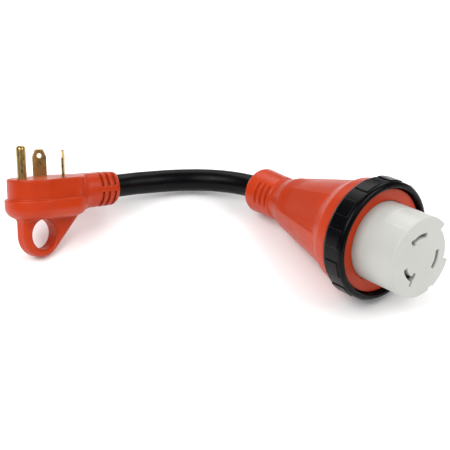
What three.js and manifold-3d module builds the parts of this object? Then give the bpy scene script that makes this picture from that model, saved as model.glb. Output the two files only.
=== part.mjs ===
// Travel-trailer power adapter: a right-angle 30 A plug with a pull loop, a short stiff cable
// and a 50 A locking connector with a threaded ring. Millimetres, +Z up, standing on z = 0.
import * as THREE from 'three';
import { mergeVertices } from 'three/addons/utils/BufferGeometryUtils.js';
import Module from 'manifold-3d';

const wasm = await Module();
wasm.setup();

// ---- driving dimensions -------------------------------------------------------------------
const GAP = 0.3;
const TURN = 2 * Math.PI;
const ROUND = 36;
const SMALL_ROUND = 16;

// where the two ends lie: heading about Z, dip of the long axis below level, roll about it
const PLUG = { at: [-116.8, 33.9, 46.2], heading: 44.46, dip: 21.36, roll: -22.22 };
const CONNECTOR = { at: [123.5, -53.8, 47.5], heading: -50.5, dip: -11.5, roll: 0 };

// plug, in its own frame: x towards the cable, z out of the blade face, face at z = 0
const FACE = { long: 52, wide: 38, deep: 14, front: 19, back: 14 };
const SHELL = { long: 56, wide: 42, deep: 13, belly: 8, front: 21, back: 16 };
// the boot's own frame: x along the boot, from where it leaves the block
const BOOT = { at: [21, 0, -11.4], bend: 11.7, tilt: 1.6, long: 35.4 };
const BOOT_PROFILE = [
  [0, 0],
  [0, 11.2],
  [12, 13.2],
  [30.4, 13.2],
  [33, 12.4],
  [34.8, 10.4],
  [35.4, 9.2],
  [35.4, 0],
];
const BOOT_SLOTS = { starts: [19.5, 24.2, 29], wide: 1.8, floor: 11.2, web: 2 };
const LOOP = { x: -6, z: -38.5, radius: 15, thick: 11, edge: 2.5, top: -18, reach: 30 };
const FINGER_HOLE = { x: -4.8, z: -38.3, radius: 10.1 };
const GROUND_PIN = { x: -17.8, radius: 3.15, high: 21.8 };
const BLADE = { x: 6.8, apart: 25.4, wide: 9.5, thick: 1.7, high: 18, turned: 45, hole: 1.5 };
const PIN_ROOT = 9;
const BARREL_LONG = 7;
const BARREL_RADIUS = 2.6;
const BRIDGE = { x: -4, long: 39, wide: 33.4, front: 16.6, back: 9, top: -4, bottom: -15 };
const CHAMBER = { from: -23, to: 24, wide: 33, front: 16.4, back: 9, floor: -22 };
const LEAD_WAY = { radius: 9.4, from: -6 };

// cable
const JACKET_RADIUS = 8;
const JACKET_BORE = 6.3;
const CONDUCTOR_RADIUS = 2.5;
const STRAND_RADIUS = 1.4;
const SOCKET_RADIUS = 1.95;
const LAY_RADIUS = 3.15;
const LAY_STEPS = 20;
const LAY_TWIST = 180;
const LEAD_DEPTH = -19;
const JACKET_IN_PLUG = 18;
const JACKET_IN_CONNECTOR = 22;

// connector, in its own frame: x along the nose, insert face at x = 0
const INSERT_RADIUS = 26;
const INSERT_OUT = 33;
const CAP_LONG = 42;
const CAP_BORE = 20.4;
const CAP_FACE = 4;
const SLOT_RADIUS = 14.3;
const SLOT_WIDE = 2.6;
const SLOT_ARC = 48;
const SLOT_CENTRES = { line_x: 91, neutral: -150, line_y: -28 };
const RECESS = { radius: 21.6, middle: 2.5, arc: 59, long: 15 };
const FLANGE_RADIUS = 34;
const FLANGE_THICK = 3.2;
const NECK_BEHIND_FLANGE = 30;
const RING = {
  radius: 39.5,
  back_radius: 38,
  bore: 34.8,
  lip: 31,
  front: -29.8,
  back: -46.1,
  lip_thick: 2.4,
};
const RING_PADS = { count: 12, first: 5.5, arc: 17 };
const RETAINER = { inner: 30.6, outer: 33.6, thick: 1.2, gap: 40 };
const BODY_REAR = -150;
const GRIP_LINE = [[-113, 18.3], [-61, 31.3]];
const GRIP_PROFILE = [
  [BODY_REAR, 0],
  [BODY_REAR, 12.5],
  [-149, 14.6],
  [-146.5, 15.7],
  [-139, 15.7],
  [-125, 15.1],
  [-121, 15.2],
  ...GRIP_LINE,
  [-57.5, 33.2],
  [-53.5, 35.4],
  [-48, 36.6],
];
const GRIP_FLATS = { angles: [139, 88, -41, -92], from: -106, to: -62, wide: 30, deep: 1.2 };
const COLLAR_SLOTS = {
  starts: [-138.8, -133.6, -128.7],
  wide: 1.9,
  floor: 13.6,
  arc: 56,
  middles: [152, -28],
};
const CARRIER = { front: -30, back: -52, radius: 20, flange: 25.6 };
const SCREW_ANGLES = [152, 52, -92];
const SCREW_CIRCLE = 23.2;
const SCREW = { shank: 1.5, head: 2.1, sunk: 2.1 };
const STEM_END = -62;
const STEM_RADIUS = 2.2;
const GROUND_BARREL = { radius: 20.5, start: -59, end: -65 };

// ---- small tools --------------------------------------------------------------------------
const radians = (degrees) => (degrees * Math.PI) / 180;

function toSolid(geometry) {
  const bare = geometry.clone();
  bare.deleteAttribute('normal');
  bare.deleteAttribute('uv');
  const merged = mergeVertices(bare, 1e-4);
  const vertProperties = new Float32Array(merged.attributes.position.array);
  const triVerts = new Uint32Array(merged.index.array);
  const at = (i) => new THREE.Vector3().fromArray(vertProperties, 3 * i);
  let volume = 0;
  for (let i = 0; i < triVerts.length; i += 3) {
    volume += at(triVerts[i]).dot(at(triVerts[i + 1]).cross(at(triVerts[i + 2])));
  }
  if (volume < 0) {
    triVerts.reverse();
  }
  return new wasm.Manifold(new wasm.Mesh({ numProp: 3, vertProperties, triVerts }));
}

function toGeometry(solid) {
  const mesh = solid.getMesh();
  const geometry = new THREE.BufferGeometry();
  geometry.setAttribute('position', new THREE.BufferAttribute(mesh.vertProperties, 3));
  geometry.setIndex(new THREE.BufferAttribute(mesh.triVerts, 1));
  return geometry;
}

// a turned piece about the x axis, from [x, radius] pairs that start and end on the axis
function turned(profile, sides = ROUND) {
  const points = profile.map(([x, radius]) => new THREE.Vector2(radius, x));
  const geometry = new THREE.LatheGeometry(points, sides);
  return toSolid(geometry.rotateZ(-TURN / 4));
}

// a turned ring whose section is a closed outline of [x, radius] pairs
function turnedRing(section, sides = ROUND) {
  return turned([...section, section[0]], sides);
}

function block(from, to) {
  const size = to.map((value, axis) => value - from[axis]);
  const geometry = new THREE.BoxGeometry(...size);
  geometry.translate(...from.map((value, axis) => value + size[axis] / 2));
  return toSolid(geometry);
}

function rod(radius, from, to, sides = SMALL_ROUND) {
  const start = new THREE.Vector3(...from);
  const span = new THREE.Vector3(...to).sub(start);
  const geometry = new THREE.CylinderGeometry(radius, radius, span.length(), sides);
  const upright = new THREE.Vector3(0, 1, 0);
  geometry.applyQuaternion(new THREE.Quaternion().setFromUnitVectors(upright, span.clone().normalize()));
  geometry.translate(...start.addScaledVector(span, 0.5).toArray());
  return toSolid(geometry);
}

// a flat outline drawn in x, y and raised from z = bottom to z = top
function raised(shape, bottom, top, curveSegments = 5) {
  const depth = top - bottom;
  const geometry = new THREE.ExtrudeGeometry(shape, { depth, bevelEnabled: false, curveSegments });
  geometry.translate(0, 0, bottom);
  return toSolid(geometry);
}

// an arc-shaped strip across the x axis, standing from x = back to x = front
function arcStrip(inner, outer, middle, arc, back, front, steps = 10) {
  const shape = new THREE.Shape();
  const first = radians(middle - arc / 2);
  const last = radians(middle + arc / 2);
  shape.absarc(0, 0, outer, first, last, false);
  shape.absarc(0, 0, inner, last, first, true);
  const geometry = new THREE.ExtrudeGeometry(shape, {
    depth: front - back,
    bevelEnabled: false,
    curveSegments: steps,
  });
  geometry.translate(0, 0, back);
  // the outline's x, y, z become the connector's y, z, x
  geometry.applyMatrix4(new THREE.Matrix4().makeBasis(
    new THREE.Vector3(0, 1, 0),
    new THREE.Vector3(0, 0, 1),
    new THREE.Vector3(1, 0, 0),
  ));
  return toSolid(geometry);
}

function polar(x, radius, angle) {
  return [x, radius * Math.cos(radians(angle)), radius * Math.sin(radians(angle))];
}

// a rod alongside the x axis, standing at an angle on a circle round it
function beside(angle, circle, radius, from, to, sides) {
  return rod(radius, polar(from, circle, angle), polar(to, circle, angle), sides);
}

function finish(name, colour, roughness, metalness, solid) {
  const material = new THREE.MeshStandardMaterial({ color: colour, roughness, metalness });
  const mesh = new THREE.Mesh(toGeometry(solid), material);
  mesh.name = name;
  return mesh;
}

const redPvc = (name, solid) => finish(name, 0xc32d0f, 0.45, 0, solid);
const blackNylon = (name, solid) => finish(name, 0x101014, 0.4, 0, solid);
const whiteNylon = (name, solid) => finish(name, 0xc4c6c0, 0.5, 0, solid);
const brass = (name, solid) => finish(name, 0xb08a3c, 0.3, 1, solid);
const nickel = (name, solid) => finish(name, 0xb8b8b4, 0.3, 1, solid);
const copper = (name, solid) => finish(name, 0xb4643c, 0.4, 1, solid);

function groupAt({ at, heading, dip, roll }) {
  const group = new THREE.Group();
  group.position.set(...at);
  group.rotation.set(radians(roll), radians(dip), radians(heading), 'ZYX');
  group.updateMatrixWorld(true);
  return group;
}

// ---- plug ---------------------------------------------------------------------------------
// a rounded block outline: blunt at the front, tighter corners towards the cable
function blockOutline(long, wide, frontRound, backRound) {
  const shape = new THREE.Shape();
  const [x, y] = [long / 2, wide / 2];
  shape.absarc(x - backRound, -y + backRound, backRound, -TURN / 4, 0, false);
  shape.absarc(x - backRound, y - backRound, backRound, 0, TURN / 4, false);
  shape.absarc(-x + frontRound, y - frontRound, frontRound, TURN / 4, TURN / 2, false);
  shape.absarc(-x + frontRound, -y + frontRound, frontRound, TURN / 2, 0.75 * TURN, false);
  return shape;
}

// the pull loop's outline in the plug's x, z plane: a round eye with a web that runs up to the boot
function loopOutline() {
  const { x, z, radius, top, reach } = LOOP;
  const slant = radius * Math.SQRT2;
  const shape = new THREE.Shape();
  shape.moveTo(reach, top);
  shape.lineTo(reach, z - slant + reach - x);
  shape.absarc(x, z, radius, -TURN / 8, -TURN / 2, true);
  shape.lineTo(x - radius, top);
  return shape;
}

function pullLoop() {
  const geometry = new THREE.ExtrudeGeometry(loopOutline(), {
    depth: LOOP.thick - 2 * LOOP.edge,
    bevelThickness: LOOP.edge,
    bevelSize: LOOP.edge,
    bevelOffset: -LOOP.edge,
    bevelSegments: 2,
    curveSegments: 18,
  });
  geometry.translate(0, 0, -LOOP.thick / 2 + LOOP.edge);
  geometry.rotateX(TURN / 4);
  const { x, z, radius } = FINGER_HOLE;
  return toSolid(geometry).subtract(rod(radius, [x, -LOOP.thick, z], [x, LOOP.thick, z], ROUND));
}

// from the boot's own frame to the plug's
function inBootFrame(solid) {
  const turn = new THREE.Matrix4().makeRotationZ(radians(-BOOT.bend));
  turn.multiply(new THREE.Matrix4().makeRotationY(radians(-BOOT.tilt)));
  const place = new THREE.Matrix4().makeTranslation(...BOOT.at).multiply(turn);
  return toSolid(toGeometry(solid).applyMatrix4(place));
}

// the strain relief: a round boot with three rings of slots, broken by a web on either side
function plugBoot() {
  const { starts, wide, floor, web } = BOOT_SLOTS;
  const beyond = BOOT_PROFILE[2][1] + 2;
  let boot = turned(BOOT_PROFILE);
  const webs = block([-1, -beyond, -web], [BOOT.long, beyond, web]);
  for (const x of starts) {
    const slots = turnedRing([[x, floor], [x + wide, floor], [x + wide, beyond], [x, beyond]]);
    boot = boot.subtract(slots.subtract(webs));
  }
  const rootRadius = BOOT_PROFILE[1][1];
  return inBootFrame(boot.add(toSolid(new THREE.SphereGeometry(rootRadius, 24, 14))));
}

function plugShell() {
  const { long, wide, deep, belly, front, back } = SHELL;
  const shape = blockOutline(long - 2 * belly, wide - 2 * belly, front - belly, back - belly);
  const geometry = new THREE.ExtrudeGeometry(shape, {
    depth: 2 * (deep - belly),
    bevelThickness: belly,
    bevelSize: belly,
    bevelSegments: 4,
    curveSegments: 6,
  });
  geometry.translate(0, 0, -FACE.deep - deep + belly);
  const above = block([-long, -long, -FACE.deep], [long, long, 2 * deep]);
  return toSolid(geometry).subtract(above);
}

function plugBody() {
  const face = raised(blockOutline(FACE.long, FACE.wide, FACE.front, FACE.back), -FACE.deep - 1, 0, 8);
  let body = pullLoop().add(face).add(plugShell()).add(plugBoot());
  // room for the bridge, the pins, the leads and the end of the jacket
  const { long, wide, front, back } = BRIDGE;
  const seat = blockOutline(long + 2 * GAP, wide + 2 * GAP, front + GAP, back + GAP);
  const room = raised(seat, BRIDGE.bottom - 1, BRIDGE.top + GAP).translate([BRIDGE.x, 0, 0]);
  const chamberLong = CHAMBER.to - CHAMBER.from;
  const chamberPlan = blockOutline(chamberLong, CHAMBER.wide, CHAMBER.front, CHAMBER.back);
  const chamber = raised(chamberPlan, CHAMBER.floor, BRIDGE.bottom - GAP);
  const jacketEnd = BOOT.long - JACKET_IN_PLUG - 2;
  const leadWay = rod(LEAD_WAY.radius, [LEAD_WAY.from, 0, 0], [jacketEnd + 2, 0, 0], 24);
  const bore = rod(JACKET_RADIUS + GAP, [jacketEnd, 0, 0], [BOOT.long + 5, 0, 0], 24);
  body = body.subtract(room).subtract(chamber.translate([CHAMBER.from + chamberLong / 2, 0, 0]));
  body = body.subtract(inBootFrame(bore)).subtract(inBootFrame(leadWay));
  body = body.subtract(pinWay(-PIN_ROOT));
  for (const side of [-1, 1]) {
    body = body.subtract(bladeSlab(side, GAP, -PIN_ROOT, 5));
  }
  return body;
}

function pinWay(bottom) {
  return rod(GROUND_PIN.radius + GAP, [GROUND_PIN.x, 0, bottom], [GROUND_PIN.x, 0, 5], 20);
}

// a flat bar standing where one of the two blades stands; side is -1 for the line blade
function bladeSlab(side, clearance, bottom, top) {
  const half = [BLADE.wide / 2 + clearance, BLADE.thick / 2 + clearance];
  const slab = block([-half[0], -half[1], bottom], [half[0], half[1], top]);
  return slab.rotate([0, 0, -side * BLADE.turned]).translate([BLADE.x, (side * BLADE.apart) / 2, 0]);
}

function bladeSolid(side) {
  const [half, tip] = [BLADE.wide / 2, BLADE.wide / 2 - 1.8];
  const shape = new THREE.Shape();
  shape.moveTo(-half, -PIN_ROOT);
  shape.lineTo(half, -PIN_ROOT);
  shape.lineTo(half, BLADE.high - 5);
  shape.lineTo(tip, BLADE.high - 0.6);
  shape.lineTo(tip - 0.6, BLADE.high);
  shape.lineTo(-tip + 0.6, BLADE.high);
  shape.lineTo(-tip, BLADE.high - 0.6);
  shape.lineTo(-half, BLADE.high - 5);
  const hole = new THREE.Path();
  hole.absarc(0, BLADE.high - 4.4, BLADE.hole, 0, TURN, true);
  shape.holes.push(hole);
  const geometry = new THREE.ExtrudeGeometry(shape, {
    depth: BLADE.thick,
    bevelEnabled: false,
    curveSegments: 8,
  });
  geometry.translate(0, 0, -BLADE.thick / 2);
  geometry.rotateX(TURN / 4);
  // the crimp barrel behind the face
  const barrel = rod(BARREL_RADIUS, [0, 0, -PIN_ROOT - BARREL_LONG], [0, 0, -PIN_ROOT + 0.5], 12);
  const socket = rod(SOCKET_RADIUS, [0, 0, -PIN_ROOT - BARREL_LONG - 1], [0, 0, -PIN_ROOT - 2], 10);
  const blade = toSolid(geometry).add(barrel).subtract(socket);
  return blade.rotate([0, 0, -side * BLADE.turned]).translate([BLADE.x, (side * BLADE.apart) / 2, 0]);
}

function groundPin() {
  const { x, radius, high } = GROUND_PIN;
  const barrelEnd = -PIN_ROOT - BARREL_LONG;
  const profile = [
    [barrelEnd, 0],
    [barrelEnd, BARREL_RADIUS],
    [-PIN_ROOT, BARREL_RADIUS],
    [-PIN_ROOT, radius],
    [high - 4, radius],
    [high - 2, radius - 0.5],
    [high - 0.6, radius - 1.6],
    [high, radius - 2.6],
    [high, 0],
  ];
  const socket = rod(SOCKET_RADIUS, [barrelEnd - 1, 0, 0], [-PIN_ROOT - 2, 0, 0], 10);
  return turned(profile, 24).subtract(socket).rotate([0, -90, 0]).translate([x, 0, 0]);
}

function plugBridge() {
  const { x, long, wide, front, back, top, bottom } = BRIDGE;
  let bridge = raised(blockOutline(long, wide, front, back), bottom, top).translate([x, 0, 0]);
  bridge = bridge.subtract(pinWay(bottom - 5));
  for (const side of [-1, 1]) {
    const y = (side * BLADE.apart) / 2;
    const barrelWay = rod(BARREL_RADIUS + GAP, [BLADE.x, y, bottom - 5], [BLADE.x, y, 0], 14);
    bridge = bridge.subtract(bladeSlab(side, GAP, -PIN_ROOT - GAP, 5)).subtract(barrelWay);
  }
  return bridge;
}

// ---- connector ----------------------------------------------------------------------------
// the tapered grip is shaved a little flat along four strips
function gripFlat(angle) {
  const { from, to, wide, deep } = GRIP_FLATS;
  const [start, end] = GRIP_LINE;
  const slope = (end[1] - start[1]) / (end[0] - start[0]);
  const outer = start[1] + slope * (from - start[0]);
  const slab = block([0, -wide / 2, 0], [(to - from) * Math.hypot(1, slope), wide / 2, 6]);
  const leaning = slab.rotate([0, (-Math.atan(slope) * 360) / TURN, 0]).translate([from, 0, outer - deep]);
  return leaning.rotate([angle - 90, 0, 0]);
}

function connectorBody() {
  const flangeBack = -INSERT_OUT - FLANGE_THICK;
  const shoulder = RING.back - GAP;
  let body = turned([
    ...GRIP_PROFILE,
    [shoulder, 36],
    [shoulder, NECK_BEHIND_FLANGE],
    [flangeBack, NECK_BEHIND_FLANGE],
    [flangeBack, FLANGE_RADIUS],
    [-INSERT_OUT, FLANGE_RADIUS],
    [-INSERT_OUT, 0],
  ]);
  const { starts, wide, floor, arc, middles } = COLLAR_SLOTS;
  for (const x of starts) {
    for (const middle of middles) {
      body = body.subtract(arcStrip(floor, floor + 5, middle, arc, x, x + wide, 8));
    }
  }
  for (const angle of GRIP_FLATS.angles) {
    body = body.subtract(gripFlat(angle));
  }
  const bore = INSERT_RADIUS + GAP;
  const jacketWay = JACKET_RADIUS + GAP;
  const room = turned([
    [BODY_REAR - 2, 0],
    [BODY_REAR - 2, jacketWay],
    [BODY_REAR + JACKET_IN_CONNECTOR + GAP, jacketWay],
    [-124, 11.5],
    [-80, 23],
    [-63, 25],
    [-61, bore],
    [-30, bore],
    [-30, 0],
  ]);
  return body.subtract(room);
}

function slotCut(middle, back, front, clearance = 0) {
  const half = SLOT_WIDE / 2 + clearance;
  return arcStrip(SLOT_RADIUS - half, SLOT_RADIUS + half, middle, SLOT_ARC, back, front);
}

function insertCap() {
  const edge = 1;
  let cap = turned([
    [-CAP_LONG, 0],
    [-CAP_LONG, INSERT_RADIUS],
    [-edge, INSERT_RADIUS],
    [0, INSERT_RADIUS - edge],
    [0, 0],
  ]);
  cap = cap.subtract(rod(CAP_BORE, [-CAP_LONG - 1, 0, 0], [-CAP_FACE, 0, 0], ROUND));
  for (const middle of Object.values(SLOT_CENTRES)) {
    cap = cap.subtract(slotCut(middle, -CAP_FACE - 1, 1));
  }
  // the neutral slot has a hooked end; the rim has a long recess for the ground strip and a keyway
  cap = cap.subtract(arcStrip(SLOT_RADIUS - 4, SLOT_RADIUS, -129, 12, -CAP_FACE - 1, 1, 3));
  cap = cap.subtract(arcStrip(RECESS.radius, 30, RECESS.middle, RECESS.arc, -RECESS.long, 1, 12));
  cap = cap.subtract(arcStrip(24.4, 30, -75, 9, -10, 1, 3));
  cap = cap.subtract(groundTailWay());
  for (const angle of SCREW_ANGLES) {
    cap = cap.subtract(beside(angle, SCREW_CIRCLE, SCREW.shank + GAP, -CAP_LONG - 1, -CAP_LONG + 12, 12));
  }
  return cap;
}

// the contact carrier: a stepped disc that closes the cap from behind
function insertBase() {
  const flangeFront = -CAP_LONG - GAP;
  let base = turned([
    [CARRIER.back, 0],
    [CARRIER.back, CARRIER.flange],
    [flangeFront, CARRIER.flange],
    [flangeFront, CARRIER.radius],
    [CARRIER.front, CARRIER.radius],
    [CARRIER.front, 0],
  ]);
  for (const middle of Object.values(SLOT_CENTRES)) {
    base = base.subtract(beside(middle, SLOT_RADIUS, STEM_RADIUS + GAP, -60, -20, 12));
  }
  for (const angle of SCREW_ANGLES) {
    base = base.subtract(beside(angle, SCREW_CIRCLE, SCREW.shank + GAP, -60, -35, 12));
    const sunkTo = CARRIER.back + SCREW.sunk + GAP;
    base = base.subtract(beside(angle, SCREW_CIRCLE, SCREW.head + GAP, -60, sunkTo, 14));
  }
  return base.subtract(groundTailWay());
}

// a female contact: two spring leaves round the blade's arc, a floor and a stem with a barrel
function femaleContact(middle) {
  const [front, floor] = [-CAP_FACE - GAP - 0.5, CARRIER.front + GAP];
  const inner = arcStrip(12.1, 12.9, middle, SLOT_ARC - 6, floor, front, 6);
  const outer = arcStrip(15.7, 16.5, middle, SLOT_ARC - 6, floor, front, 6);
  const web = arcStrip(12.1, 16.5, middle, SLOT_ARC - 6, floor, floor + 1.5, 6);
  const stem = beside(middle, SLOT_RADIUS, STEM_RADIUS, STEM_END, floor + 1, 12);
  const socket = beside(middle, SLOT_RADIUS, SOCKET_RADIUS, STEM_END - 1, STEM_END + 6, 10);
  return inner.add(outer).add(web).add(stem).subtract(socket);
}

function groundTailWay() {
  return arcStrip(RECESS.radius, RECESS.radius + 1.5, RECESS.middle, 16, -60, -RECESS.long + 1, 4);
}

// the ground strip lies in the rim recess; its tail runs back through the cap to a barrel
function groundContact() {
  const [inner, outer] = [RECESS.radius + GAP, RECESS.radius + GAP + 0.9];
  const face = arcStrip(inner, outer, RECESS.middle, 40, -RECESS.long + GAP, -1.5, 8);
  const tail = arcStrip(inner, outer, RECESS.middle, 13, STEM_END, -RECESS.long + 1, 4);
  const { radius, start, end } = GROUND_BARREL;
  const barrel = beside(RECESS.middle, radius, STEM_RADIUS, end, start, 12);
  const socket = beside(RECESS.middle, radius, SOCKET_RADIUS, end - 1, start, 10);
  return face.add(tail).add(barrel).subtract(socket);
}

// a link plate that joins the two line contacts behind the carrier
function lineLink() {
  const [back, front] = [CARRIER.back - 2.8, CARRIER.back - 1.2];
  const middle = (SLOT_CENTRES.line_x + SLOT_CENTRES.line_y) / 2;
  const arc = SLOT_CENTRES.line_x - SLOT_CENTRES.line_y + 26;
  let plate = arcStrip(10.5, 18, middle, arc, back, front, 16);
  for (const angle of [SLOT_CENTRES.line_x, SLOT_CENTRES.line_y]) {
    plate = plate.subtract(beside(angle, SLOT_RADIUS, STEM_RADIUS + GAP, -60, -40, 12));
  }
  return plate;
}

function insertScrew(angle) {
  const head = beside(angle, SCREW_CIRCLE, SCREW.head, CARRIER.back + 0.2, CARRIER.back + SCREW.sunk, 14);
  const shank = beside(angle, SCREW_CIRCLE, SCREW.shank, CARRIER.back + 1.5, -CAP_LONG + 11, 12);
  return head.add(shank);
}

// the locking ring: a plain bore, a captive lip at the back, low grip pads outside
function lockingRing() {
  const { radius, back_radius, bore, lip, front, back, lip_thick } = RING;
  let ring = turnedRing([
    [back, lip],
    [back, back_radius],
    [back + 2, radius - 0.6],
    [front - 2.5, radius - 0.6],
    [front - 0.8, radius - 1.6],
    [front, radius - 3.2],
    [front, bore + 0.6],
    [front - 0.8, bore],
    [back + lip_thick, bore],
    [back + lip_thick, lip],
  ]);
  for (let i = 0; i < RING_PADS.count; i += 1) {
    const middle = RING_PADS.first + (360 / RING_PADS.count) * i;
    const pad = arcStrip(radius - 2, radius, middle, RING_PADS.arc, back + 2.2, front - 3, 3);
    ring = ring.add(pad);
  }
  return ring;
}

// the split retainer that lies in the ring, behind the flange
function retainer() {
  const back = RING.back + RING.lip_thick + GAP;
  const { inner, outer, thick, gap } = RETAINER;
  return arcStrip(inner, outer, 90, 360 - gap, back, back + thick, 18);
}

// ---- cable --------------------------------------------------------------------------------
const ROUTE = [
  [-88.5, 51.1, 24.1],
  [-82.9, 54.9, 22.3],
  [-77.3, 58.7, 20.5],
  [-72.5, 61.9, 18.9],
  [-64.9, 66.9, 16.6],
  [-56.7, 71.3, 14.7],
  [-47.7, 75.2, 12.9],
  [-38.6, 78.2, 11.7],
  [-29.4, 80.2, 10.9],
  [-19.8, 81, 10.6],
  [-10.5, 80.5, 10.9],
  [-1.2, 78.7, 11.6],
  [7.6, 75.6, 12.7],
  [15.8, 71.4, 14.1],
  [23.3, 66.1, 15.8],
  [30, 59.6, 17.6],
  [35, 53.6, 19.2],
  [39.4, 48.3, 20.6],
  [43.7, 43, 22],
];

const toVectors = (points) => points.map((point) => new THREE.Vector3(...point));

function pathTube(points, radius, bore, sides, steps) {
  const shape = new THREE.Shape();
  shape.absarc(0, 0, radius, 0, TURN, false);
  if (bore > 0) {
    const hole = new THREE.Path();
    hole.absarc(0, 0, bore, 0, TURN, true);
    shape.holes.push(hole);
  }
  const extrudePath = new THREE.CatmullRomCurve3(points, false, 'centripetal');
  return toSolid(new THREE.ExtrudeGeometry(shape, { extrudePath, steps, curveSegments: sides / 2 }));
}

// the middle line of one conductor along the cable, set off from the route's middle
function besideRoute(route, angle) {
  const curve = new THREE.CatmullRomCurve3(route, false, 'centripetal');
  const up = new THREE.Vector3(0, 0, 1);
  const points = [];
  for (let i = 0; i <= LAY_STEPS; i += 1) {
    const turn = radians(angle + (LAY_TWIST * i) / LAY_STEPS);
    const along = curve.getTangentAt(i / LAY_STEPS);
    const across = new THREE.Vector3().crossVectors(up, along).normalize();
    const rise = new THREE.Vector3().crossVectors(along, across);
    const point = curve.getPointAt(i / LAY_STEPS);
    point.addScaledVector(across, LAY_RADIUS * Math.cos(turn));
    point.addScaledVector(rise, LAY_RADIUS * Math.sin(turn));
    points.push(point);
  }
  return points;
}

// the strands' first stretch, straight down out of a pin's barrel
function downFrom(x, y) {
  return [-11.5, -14, -16.6].map((z) => [x, y, z]);
}

// an insulated conductor: the bare strands reach further than the insulation at both ends
function conductor(name, colour, { angle, plugEnd, plugLead, connectorLead, connectorEnd }) {
  const middle = besideRoute(toVectors(ROUTE), angle);
  const inPlug = (point) => plug.localToWorld(new THREE.Vector3(...point));
  const inConnector = (point) => connector.localToWorld(new THREE.Vector3(...point));
  const covered = [...plugLead.map(inPlug), ...middle, ...connectorLead.map(inConnector)];
  const bare = [...plugEnd.map(inPlug), ...covered, ...connectorEnd.map(inConnector)];
  model.add(
    finish(`${name}_insulation`, colour, 0.5, 0, pathTube(covered, CONDUCTOR_RADIUS, SOCKET_RADIUS, 8, 38)),
    copper(`${name}_strands`, pathTube(bare, STRAND_RADIUS, 0, 8, 50)),
  );
}

// ---- assembly -----------------------------------------------------------------------------
const model = new THREE.Group();
const plug = groupAt(PLUG);
const connector = groupAt(CONNECTOR);
model.add(plug, connector);

plug.add(
  redPvc('plug_body', plugBody()),
  blackNylon('plug_bridge', plugBridge()),
  brass('ground_pin', groundPin()),
  brass('blade_line', bladeSolid(-1)),
  brass('blade_neutral', bladeSolid(1)),
);
connector.add(
  redPvc('connector_body', connectorBody()),
  whiteNylon('insert_cap', insertCap()),
  blackNylon('insert_base', insertBase()),
  brass('contact_line_x', femaleContact(SLOT_CENTRES.line_x)),
  brass('contact_line_y', femaleContact(SLOT_CENTRES.line_y)),
  brass('contact_neutral', femaleContact(SLOT_CENTRES.neutral)),
  nickel('ground_strip', groundContact()),
  copper('line_link', lineLink()),
  blackNylon('locking_ring', lockingRing()),
  nickel('split_retainer', retainer()),
);
SCREW_ANGLES.forEach((angle, index) => {
  connector.add(nickel(`insert_screw_${index + 1}`, insertScrew(angle)));
});

const jacket = pathTube(toVectors(ROUTE), JACKET_RADIUS, JACKET_BORE, 12, 20);
model.add(finish('cable_jacket', 0x0c0c10, 0.55, 0, jacket));
conductor('line', 0x161616, {
  angle: 150,
  plugEnd: downFrom(BLADE.x, -BLADE.apart / 2),
  plugLead: [[11.3, -10.8, LEAD_DEPTH], [17.5, -7.8, -18.6], [23.5, -5.4, -15], [29, -5.5, -13.2]],
  connectorLead: [polar(-112, 7, -30), polar(-90, 11.5, -28), polar(-74, SLOT_RADIUS, -28)],
  connectorEnd: [polar(-66, SLOT_RADIUS, -28), polar(-57.5, SLOT_RADIUS, -28)],
});
conductor('neutral', 0xd8d8d4, {
  angle: 30,
  plugEnd: downFrom(BLADE.x, BLADE.apart / 2),
  plugLead: [[11.3, 10.8, LEAD_DEPTH], [17, 6.5, -18.7], [23.5, 4.3, -15], [29, 2.1, -12.1]],
  connectorLead: [polar(-112, 7, -150), polar(-90, 11.5, -150), polar(-74, SLOT_RADIUS, -150)],
  connectorEnd: [polar(-66, SLOT_RADIUS, -150), polar(-57.5, SLOT_RADIUS, -150)],
});
conductor('ground', 0x2f7d3a, {
  angle: -90,
  plugEnd: downFrom(GROUND_PIN.x, 0),
  plugLead: [
    [GROUND_PIN.x + 5, 0, LEAD_DEPTH],
    [0, 0, LEAD_DEPTH],
    [16, 0, LEAD_DEPTH],
    [23.5, -0.3, -18],
    [29, -1.2, -16.8],
  ],
  connectorLead: [polar(-112, 7, 80), polar(-94, 12, 48), polar(-82, 17, 15), polar(-76, 19.2, 2.5)],
  connectorEnd: [polar(-68, 20.5, 2.5), polar(-60.5, 20.5, 2.5)],
});

export default model;
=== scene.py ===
"""A travel-trailer power adapter: a right-angle plug with a pull loop, a short stiff cable and a
locking connector with a threaded ring. Metres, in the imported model's frame."""

import math

import bmesh
import bpy
import numpy as np
from mathutils import Euler, Matrix, Vector


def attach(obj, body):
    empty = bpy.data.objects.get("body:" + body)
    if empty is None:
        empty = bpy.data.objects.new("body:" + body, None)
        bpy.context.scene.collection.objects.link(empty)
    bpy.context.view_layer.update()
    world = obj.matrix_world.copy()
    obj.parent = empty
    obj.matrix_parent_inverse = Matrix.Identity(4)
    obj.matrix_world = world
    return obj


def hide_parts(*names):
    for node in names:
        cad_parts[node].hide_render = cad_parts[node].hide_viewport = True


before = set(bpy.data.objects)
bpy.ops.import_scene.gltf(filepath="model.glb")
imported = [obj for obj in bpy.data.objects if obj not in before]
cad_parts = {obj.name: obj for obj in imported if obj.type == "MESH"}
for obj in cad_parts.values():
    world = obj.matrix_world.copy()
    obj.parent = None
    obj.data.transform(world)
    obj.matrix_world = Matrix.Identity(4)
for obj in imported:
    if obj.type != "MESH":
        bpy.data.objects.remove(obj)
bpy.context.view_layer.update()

MM = 0.001

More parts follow.
